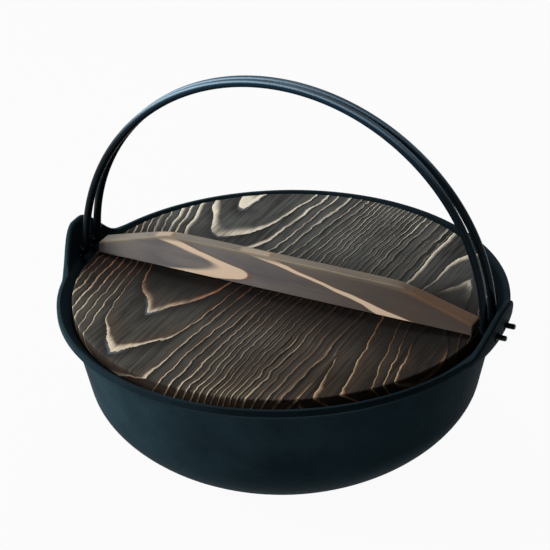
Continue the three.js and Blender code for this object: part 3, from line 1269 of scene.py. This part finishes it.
@dataclass
class BailRod:
    """One rod of the bail: a tall arch whose ends bend out into the eyes of the ears."""

    side: Side
    pivot: Vector
    radius: float = 2.49
    bend: float = 3.6
    half_span: float = 134.48
    rise: float = 136.0
    rod_gap: float = 0.3
    pin_radius: float = 1.7
    pin_shoulder: float = 140.88
    pin_chamfer: float = 0.5
    shoulder_chamfer: float = 0.3
    shoulder_face: float = 0.02
    arch_steps: int = 160
    bend_steps: int = 10
    sides: int = 24

    def line(self, pin_tip: float) -> np.ndarray:
        """Centre line about the pivot, from pin tip to pin tip.

        Args:
            pin_tip: How far out the pin's tip lies.

        Returns:
            Points of X and Z.
        """
        stations = [
            pin_tip,
            pin_tip - self.pin_chamfer,
            self.pin_shoulder,
            self.pin_shoulder - self.shoulder_face,
            self.pin_shoulder - self.shoulder_chamfer,
        ]
        pin = [(x, 0.0) for x in stations]
        bend = []
        for turn in np.linspace(0, math.pi / 2, self.bend_steps):
            out = self.half_span + self.bend * (1 - math.sin(turn))
            bend.append((out, self.bend * (1 - math.cos(turn))))
        turns = np.linspace(math.pi / 2, 0, self.arch_steps // 2)[1:]
        tall = self.rise - self.bend
        arch = [(self.half_span * math.sin(t), self.bend + tall * math.cos(t)) for t in turns]
        half = np.array(pin + bend + arch)
        return np.vstack([half, half[-2::-1] * (-1, 1)])

    def build(self, material: bpy.types.Material) -> None:
        """Makes the rod by sweeping a circle along its line.

        Args:
            material: The finish of the rod.
        """
        node = f"bail_rod_{self.side.value}"
        line = self.line(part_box(node)[1].x / MM)
        lean = math.asin((abs(self.pivot.y) / MM - self.radius - self.rod_gap / 2) / self.rise)
        tilt = Matrix.Rotation(-lean if self.side is Side.FRONT else lean, 3, "X")
        points = [self.pivot + tilt @ Vector((x * MM, 0.0, z * MM)) for x, z in line]
        mesh = bpy.data.meshes.new(node)
        mesh.from_pydata(points, [(i, i + 1) for i in range(len(points) - 1)], [])
        taper = mesh.attributes.new("taper", "FLOAT", "POINT")
        pin = self.pin_radius / self.radius
        end = [pin - self.pin_chamfer / self.radius, pin, pin, 1 - self.shoulder_chamfer / self.radius]
        taper.data.foreach_set("value", end + [1.0] * (len(points) - 2 * len(end)) + end[::-1])
        body = f"bail_{self.side.value}"
        rod = put(body, mesh)
        recipe = Recipe(f"swept_rod_{self.side.value}")
        radius = recipe.size("Rod radius", self.radius * MM)
        sides = recipe.size("Rod sides", self.sides)
        curve = recipe.add("GeometryNodeMeshToCurve", inputs={"Mesh": recipe.source()})
        share = recipe.add("GeometryNodeInputNamedAttribute", {"data_type": "FLOAT"}, {"Name": "taper"})
        inputs = {"Resolution": sides, "Radius": 1.0}
        circle = recipe.add("GeometryNodeCurvePrimitiveCircle", inputs=inputs)
        inputs = {"Curve": curve, "Profile Curve": circle, "Scale": radius * share, "Fill Caps": True}
        tube = recipe.add("GeometryNodeCurveToMesh", inputs=inputs)
        # The upward share of each normal, which the coat reads to place its painted highlight.
        up = recipe.split(recipe.add("GeometryNodeInputNormal"))[2]
        recipe.run(rod, recipe.store(tube, "upper", up), material)
        smooth(rod)
        hand_over(rod, body, "bail", node)


@dataclass
class CedarLid:
    """The lid: two boards glued edge to edge, with a batten across them and holes for screws below."""

    turn: float = math.radians(-1.7)
    radius: float = 130.28
    top: float = LID_TOP
    thickness: float = 9.0
    edge_break: float = 0.8
    edge_soft: float = 0.3
    seat_radius: float = 129.2
    seat_top: float = 92.55
    joint: float = 66.0
    joint_half: float = 0.04
    relief: float = 0.34
    rows: int = 96
    wide_columns: int = 300
    narrow_columns: int = 150
    handle_inset: float = 1.65
    handle_height: float = 21.3
    handle_lift: float = 0.3
    handle_end: float = 6.6
    handle_slope: float = 48.5
    handle_foot: float = 13.0
    handle_top: float = 7.5
    handle_round: float = 0.9
    handle_foot_round: float = 0.35
    handle_fill: tuple = (3, 8, 8, 8, 3)
    handle_columns: int = 170
    round_steps: int = 6
    ridge_soft: float = 2.2
    wear_reach: float = 1.2
    wear_fade: float = 0.45
    wear_near: float = 0.2
    wear_far: float = 1.6
    wear_most: float = 2.0
    screw_count: int = 4
    screw_pitch: float = 65.0
    screw_recess: float = 0.5
    hole_radius: float = 3.8
    hole_sides: int = 28
    hole_spare: float = 1.0
    countersink_width: float = 1.9
    countersink_depth: float = 2.2

    def turned(self, points: np.ndarray) -> np.ndarray:
        """Turns points of the lid's frame into the pot's frame.

        Args:
            points: Points in the lid's frame, one row each.

        Returns:
            The same points in the pot's frame.
        """
        along, across = math.cos(self.turn), math.sin(self.turn)
        x, y, z = np.asarray(points, float).T
        return np.stack([x * along - y * across, x * across + y * along, z], axis=1)

    def plan(self, radius: float, side: int, columns: int) -> np.ndarray:
        """Points of a board in plan: columns run along the grain, from the edge to the joint.

        Args:
            radius: Radius of the disc at this level.
            side: -1 for the board left of the joint and 1 for the one right of it.
            columns: How many columns there are.

        Returns:
            An array of columns by rows by two.
        """
        edge = self.joint + side * self.joint_half
        widest = math.acos(side * edge / radius)
        turns = np.linspace(0, widest, columns)
        x = side * radius * np.cos(turns)
        reach = radius * np.sin(turns)
        rows = np.linspace(-1, 1, self.rows)
        return np.stack([np.repeat(x[:, None], self.rows, 1), reach[:, None] * rows[None, :]], axis=2)

    def board_mesh(self, name: str, side: int, columns: int) -> bpy.types.Object:
        """One board as a closed mesh with a fine grid above and below.

        Args:
            name: The name of the piece.
            side: -1 for the board left of the joint and 1 for the one right of it.
            columns: How many columns its grids have.

        Returns:
            The piece, still without relief.
        """
        bottom = self.top - self.thickness
        soft = self.edge_break * self.edge_soft
        levels = [
            (self.radius - self.edge_break, self.top),
            (self.radius - soft, self.top - soft),
            (self.radius, self.top - self.edge_break),
            (self.radius, lerp(self.top, self.seat_top, 0.5)),
            (self.radius, self.seat_top),
            (self.seat_radius, bottom),
        ]
        points = []
        faces = []
        rows = self.rows
        border = [column * rows for column in range(columns)]
        border += [(columns - 1) * rows + row for row in range(1, rows)]
        border += [column * rows + rows - 1 for column in range(columns - 2, -1, -1)]
        rings = []
        for i, (radius, height) in enumerate(levels):
            plan = self.plan(radius, side, columns).reshape(-1, 2)
            whole = i in (0, len(levels) - 1)
            kept = range(len(plan)) if whole else border
            start = len(points)
            points += [(*plan[k], height) for k in kept]
            rings.append([start + k for k in border] if whole else list(range(start, len(points))))
            if whole:
                faces += [tuple(start + k for k in face) for face in grid_faces(columns, rows)]
        for upper, lower in zip(rings, rings[1:]):
            for i in range(len(border)):
                j = (i + 1) % len(border)
                faces.append((upper[i], upper[j], lower[j], lower[i]))
        return make_piece(name, self.turned(np.array(points)), faces)

    def screw_places(self) -> list[float]:
        """Places of the screws along the batten."""
        return [(i - (self.screw_count - 1) / 2) * self.screw_pitch for i in range(self.screw_count)]

    def recess_tool(self, places: Sequence[float]) -> bpy.types.Object:
        """Short plugs that cut the countersunk mouths of the screw holes.

        Args:
            places: Places of the holes along the batten.

        Returns:
            The plugs, as one piece.
        """
        bottom = self.top - self.thickness
        seat = bottom + self.screw_recess
        profile = [
            (self.hole_radius, bottom - self.hole_spare),
            (self.hole_radius, seat),
            (self.hole_radius - self.countersink_width, seat + self.countersink_depth),
        ]
        points = []
        faces = []
        for place in places:
            faces += lathe_faces(self.hole_sides, len(profile), len(points))
            for turn in full_turn(self.hole_sides):
                points += [(place + r * math.cos(turn), r * math.sin(turn), z) for r, z in profile]
        return make_piece("recess_tool", self.turned(np.array(points)), faces)

    def board(self, node: str, side: int, columns: int, grain: CathedralGrain) -> None:
        """Builds one board: its relief, where the brush wore the early wood away, and its finish.

        Args:
            node: The node that the board stands for.
            side: -1 for the board left of the joint and 1 for the one right of it.
            columns: How many columns its grids have.
            grain: The growth rings of the board.
        """
        board = self.board_mesh(f"cedar_{node}", side, columns)
        mine = [x for x in self.screw_places() if (x < self.joint) == (side < 0)]
        if mine:
            cut(board, self.recess_tool(mine))
        material = CharredCedar(f"charred_{node}", grain, self.turn, self.radius).material()
        recipe = Recipe(f"brushed_{node}")
        depth = recipe.size("Relief depth", self.relief)
        level = recipe.size("Top level", self.top - self.edge_break)
        place = lid_place(recipe.place(), self.turn)
        across = grain.across(recipe, place)
        late = grain.late_wood(place, across, grain.rings(recipe, place, across))
        worn = (1 - late) * place[2].ease(level, level + self.edge_break) * depth
        recipe.run(board, recipe.move(recipe.join(0.0, 0.0, worn * -MM)), material)
        smooth(board)
        hand_over(board, "lid", "lid_wood", node)

    def handle_section(self, x: float, half_length: float) -> list[tuple[float, float, float]]:
        """Section of the batten across its length, with rounded upper edges.

        Args:
            x: Place along the batten.
            half_length: Half the batten's length.

        Returns:
            Points of Y, Z above the foot, and wear of 0 to 1.
        """
        inset = self.handle_round - min(half_length - abs(x), self.handle_round)
        pull = self.handle_round - math.sqrt(max(self.handle_round ** 2 - inset ** 2, 0.0))
        climb = (half_length - abs(x)) / self.handle_slope * (self.handle_height - self.handle_end)
        ridge = self.handle_height - self.handle_end - climb
        eased = 0.5 * (ridge + math.sqrt(ridge * ridge + self.ridge_soft ** 2))
        height = self.handle_height - eased - pull
        lean = (self.handle_foot - self.handle_top) / 2 / self.handle_height
        foot = self.handle_foot / 2 - pull
        top = self.handle_foot / 2 - lean * height - pull
        corners = [(0.0, pull), (foot, pull), (top, height), (-top, height), (-foot, pull), (0.0, pull)]
        radii = [self.handle_foot_round, self.handle_round, self.handle_round, self.handle_foot_round]
        section = []
        for y, z in rounded(corners, radii, self.handle_fill, self.round_steps)[:-1]:
            near = min(abs(abs(y) - top), self.wear_most) + max(height - z, 0.0)
            wear = 1.0 - smoothstep(near, self.wear_near, self.wear_far) * self.wear_fade
            section.append((y, z, wear if height - z < self.wear_reach else 0.0))
        return section

    def handle(self) -> None:
        """Builds the batten: leaning sides, a narrow flat top and sloping ends."""
        half_length = self.radius - self.handle_inset
        ends = half_length - self.handle_round * (1 - np.cos(np.linspace(0, math.pi / 2, self.round_steps)))
        middle = np.linspace(ends[-1], -ends[-1], self.handle_columns)[1:-1]
        places = np.concatenate([ends, middle, -ends[::-1]])
        foot = self.top + self.handle_lift
        points = []
        wear = []
        for x in places:
            section = self.handle_section(x, half_length)
            points += [(x, y, foot + z) for y, z, _ in section]
            wear += [w for _, _, w in section]
        rows = len(points) // len(places)
        faces = grid_faces(len(places), rows)
        for column in range(len(places) - 1):
            here = column * rows
            there = here + rows
            faces.append((here + rows - 1, there + rows - 1, there, here))
        faces.append(tuple(range(rows)))
        faces.append(tuple(range(len(points) - rows, len(points))))
        batten = make_piece("cedar_batten", self.turned(np.array(points)), faces)
        worn = batten.data.attributes.new("worn", "FLOAT", "POINT")
        worn.data.foreach_set("value", np.array(wear, np.float32)[: len(batten.data.vertices)])
        material = SmokedBatten(self.turn, foot, self.handle_height).material()
        batten.data.materials.append(material)
        smooth(batten)
        hand_over(batten, "lid", "handle_wood", "lid_handle")

    def build(self) -> None:
        """Builds the boards and the batten."""
        self.board("lid_board_wide", -1, self.wide_columns, WIDE_GRAIN)
        self.board("lid_board_narrow", 1, self.narrow_columns, NARROW_GRAIN)
        self.handle()


@dataclass
class WoodScrews:
    """Countersunk wood screws that hold the batten from below the lid."""

    lid: CedarLid
    length: float = 16.0
    shank_radius: float = 1.72
    root_radius: float = 1.2
    head_radius: float = 3.5
    head_height: float = 2.0
    head_core: float = 0.55
    head_break: float = 0.15
    point: float = 3.0
    point_blunt: float = 0.05
    point_share: float = 0.02
    thread_pitch: float = 1.8
    thread_from: float = 2.5
    thread_fade: float = 1.2
    thread_crest: float = 1.6
    columns: int = 24
    steps: int = 70
    slot_half: float = 0.42
    slot_reach: float = 1.9
    slot_depth: float = 1.1
    slot_spare: float = 0.5
    slot_taper: float = 0.45
    slot_narrow: float = 0.6

    def thread(self, height: float, turn: float) -> float:
        """Radius of the threaded shank at one place.

        Args:
            height: Distance from the head's face.
            turn: Angle about the screw's axis.

        Returns:
            The radius.
        """
        start = self.head_height + self.thread_from
        wave = abs(((height / self.thread_pitch - turn / (2 * math.pi)) % 1.0) - 0.5) * 2
        crest = lerp(self.root_radius, self.shank_radius, max(0.0, 1 - wave * self.thread_crest))
        body = lerp(self.shank_radius, crest, smoothstep(height, start, start + self.thread_fade))
        taper = min(1.0, (self.length - height) / self.point)
        return body * max(taper, self.point_share)

    def screw(self) -> bpy.types.Object:
        """Makes one screw, with a cross in its head.

        Returns:
            The screw, which stands on its head at the origin.
        """
        heights = np.linspace(self.head_height, self.length - self.point_blunt, self.steps)
        head = [
            (self.head_radius * self.head_core, 0.0),
            (self.head_radius - self.head_break, 0.0),
            (self.head_radius, self.head_break),
        ]
        points = []
        for turn in full_turn(self.columns):
            line = head + [(self.thread(h, turn), h) for h in heights]
            points += [(r * math.cos(turn), r * math.sin(turn), z) for r, z in line]
        screw = make_piece("lid_screws", np.array(points), lathe_faces(self.columns, len(line)))
        for quarter in (0, 1):
            cut(screw, self.slot_tool(quarter))
        return screw

    def slot_tool(self, quarter: int) -> bpy.types.Object:
        """A wedge that cuts one bar of the cross.

        Args:
            quarter: 1 for the bar that is turned by a right angle, and 0 for the other.

        Returns:
            The wedge.
        """
        points = []
        for height, share in ((-self.slot_spare, 1.0), (self.slot_depth, self.slot_taper)):
            for x, y in ((-1, -1), (1, -1), (1, 1), (-1, 1)):
                half = self.slot_half * lerp(self.slot_narrow, 1.0, share)
                spot = (x * self.slot_reach * share, y * half, height)
                points.append((-spot[1], spot[0], spot[2]) if quarter else spot)
        faces = [(0, 1, 2, 3), (4, 5, 6, 7)]
        faces += [(i, (i + 1) % 4, (i + 1) % 4 + 4, i + 4) for i in range(4)]
        return make_piece("slot_tool", np.array(points), faces)

    def build(self, material: bpy.types.Material) -> None:
        """Sets the screws in a row along the batten.

        Args:
            material: The finish of the screws.
        """
        screw = self.screw()
        places = self.lid.screw_places()
        base = self.lid.top - self.lid.thickness + self.lid.screw_recess
        ends = self.lid.turned(np.array([(places[0], 0.0, base), (places[1], 0.0, base)])) * MM
        recipe = Recipe("screw_row")
        count = recipe.size("Screws", self.lid.screw_count)
        first = recipe.size("First screw", tuple(ends[0]))
        pitch = recipe.size("Pitch", tuple(ends[1] - ends[0]))
        inputs = {"Count": count, "Start Location": first, "Offset": pitch}
        row = recipe.add("GeometryNodeMeshLine", inputs=inputs)
        inputs = {"Points": row, "Instance": recipe.source()}
        recipe.run(screw, recipe.add("GeometryNodeInstanceOnPoints", inputs=inputs), material)
        smooth(screw)
        nodes = [f"lid_screw_{i + 1}" for i in range(self.lid.screw_count)]
        hand_over(screw, "lid", "screw", *nodes)


@dataclass
class Lamp:
    """A soft box that looks at the pot, in metres and watts."""

    name: str
    place: tuple[float, float, float]
    width: float
    height: float
    power: float
    aim: tuple[float, float, float] = (0.0, 0.0, 0.08)

    def build(self) -> None:
        """Hangs the lamp."""
        light = bpy.data.lights.new(self.name, "AREA")
        light.shape = "RECTANGLE"
        light.size = self.width
        light.size_y = self.height
        light.energy = self.power
        lamp = put(self.name, light)
        lamp.location = self.place
        way = Vector(self.aim) - Vector(self.place)
        lamp.rotation_mode = "QUATERNION"
        lamp.rotation_quaternion = way.to_track_quat("-Z", "Y")


@dataclass
class Studio:
    """A plain pale floor, soft lamps and an even surround."""

    floor_half: float = 6.0
    floor_drop: float = 0.0003
    floor_color: tuple = (0.4, 0.4, 0.4, 1.0)
    floor_white: float = 0.95
    surround: float = 0.06

    def seen(self, bench: Bench) -> Wire:
        """1 for rays that come from the camera or from a gloss, which see plain white."""
        camera = bench.add("ShaderNodeLightPath", output="Is Camera Ray")
        return (camera + camera.other("Is Glossy Ray") + camera.other("Is Transmission Ray")).least(1.0)

    def floor(self) -> None:
        """Lays the floor, whose white is partly its own so that the shadow stays faint."""
        half = self.floor_half
        mesh = bpy.data.meshes.new("floor")
        corners = [(-half, -half), (half, -half), (half, half), (-half, half)]
        mesh.from_pydata([(x, y, -self.floor_drop) for x, y in corners], [], [(0, 1, 2, 3)])
        floor = put("floor", mesh)
        paint = Paint("floor_white")
        matte = paint.add("ShaderNodeBsdfDiffuse", inputs={"Color": self.floor_color})
        white = paint.add("ShaderNodeEmission", inputs={"Strength": 1.0})
        share = self.seen(paint) * self.floor_white
        inputs = {"Fac": share, "Shader": matte, "Shader_001": white}
        mixed = paint.add("ShaderNodeMixShader", inputs=inputs)
        paint.add("ShaderNodeOutputMaterial", inputs={"Surface": mixed})
        mesh.materials.append(paint.material)

    def world(self) -> None:
        """Sets the surround: white to the camera, and a plain soft light to everything else."""
        world = bpy.data.worlds.new("surround")
        world.use_nodes = True
        bpy.context.scene.world = world
        bench = Bench(world.node_tree)
        strength = self.surround + self.seen(bench) * (1 - self.surround)
        light = bench.add("ShaderNodeBackground", inputs={"Strength": strength})
        bench.add("ShaderNodeOutputWorld", inputs={"Surface": light})

    def build(self) -> None:
        """Sets up the whole studio."""
        self.floor()
        self.world()
        Lamp("overhead_box", (-0.35, 0.7, 1.3), width=0.4, height=0.25, power=9.0).build()
        Lamp("left_box", (-1.25, -0.5, 0.62), width=1.0, height=0.9, power=29.0).build()
        Lamp("front_fill", (-0.7, -1.5, 0.8), width=1.0, height=0.8, power=3.0).build()
        bpy.context.scene.view_settings.view_transform = "Standard"


@dataclass
class PhotoCamera:
    """The camera at the viewing angle of the reference, with lengths in millimetres."""

    azimuth: float = math.radians(25.96)
    elevation: float = math.radians(28.71)
    roll: float = math.radians(-1.60)
    distance: float = 1404.0
    focal_pixels: float = 2280.0
    aim_right: float = -4.79
    aim_up: float = 109.9

    def build(self) -> None:
        """Makes the camera and gives it to the scene."""
        a, e = self.azimuth, self.elevation
        back = Vector((math.sin(a) * math.cos(e), -math.cos(a) * math.cos(e), math.sin(e)))
        right = Vector((math.cos(a), math.sin(a), 0.0))
        up = back.cross(right)
        across = right * math.cos(self.roll) + up * math.sin(self.roll)
        upward = up * math.cos(self.roll) - right * math.sin(self.roll)
        aim = right * self.aim_right + Vector((0.0, 0.0, self.aim_up))
        data = bpy.data.cameras.new("camera")
        data.sensor_width = SENSOR_WIDTH
        data.lens = self.focal_pixels / IMAGE_WIDTH * SENSOR_WIDTH
        camera = put("camera", data)
        turn = Matrix((across, upward, back)).transposed().to_4x4()
        camera.matrix_world = Matrix.Translation((aim + back * self.distance) * MM) @ turn
        bpy.context.scene.camera = camera


def main() -> None:
    """Builds the pot, its bail, its lid and the studio."""
    logging.basicConfig(level=logging.INFO, format="%(message)s")
    pivots = {joint["child"]: Vector(joint["pos_m"]) for joint in frame["joints"] if "pos_m" in joint}
    PotCasting().build(CastIron().material(), list(pivots.values()))
    black = BakedBlack().material()
    for side in Side:
        BailRod(side, pivots[f"bail_{side.value}"]).build(black)
    lid = CedarLid()
    lid.build()
    WoodScrews(lid).build(BrightSteel().material())
    PhotoCamera().build()
    Studio().build()


if __name__ == "__main__":
    main()
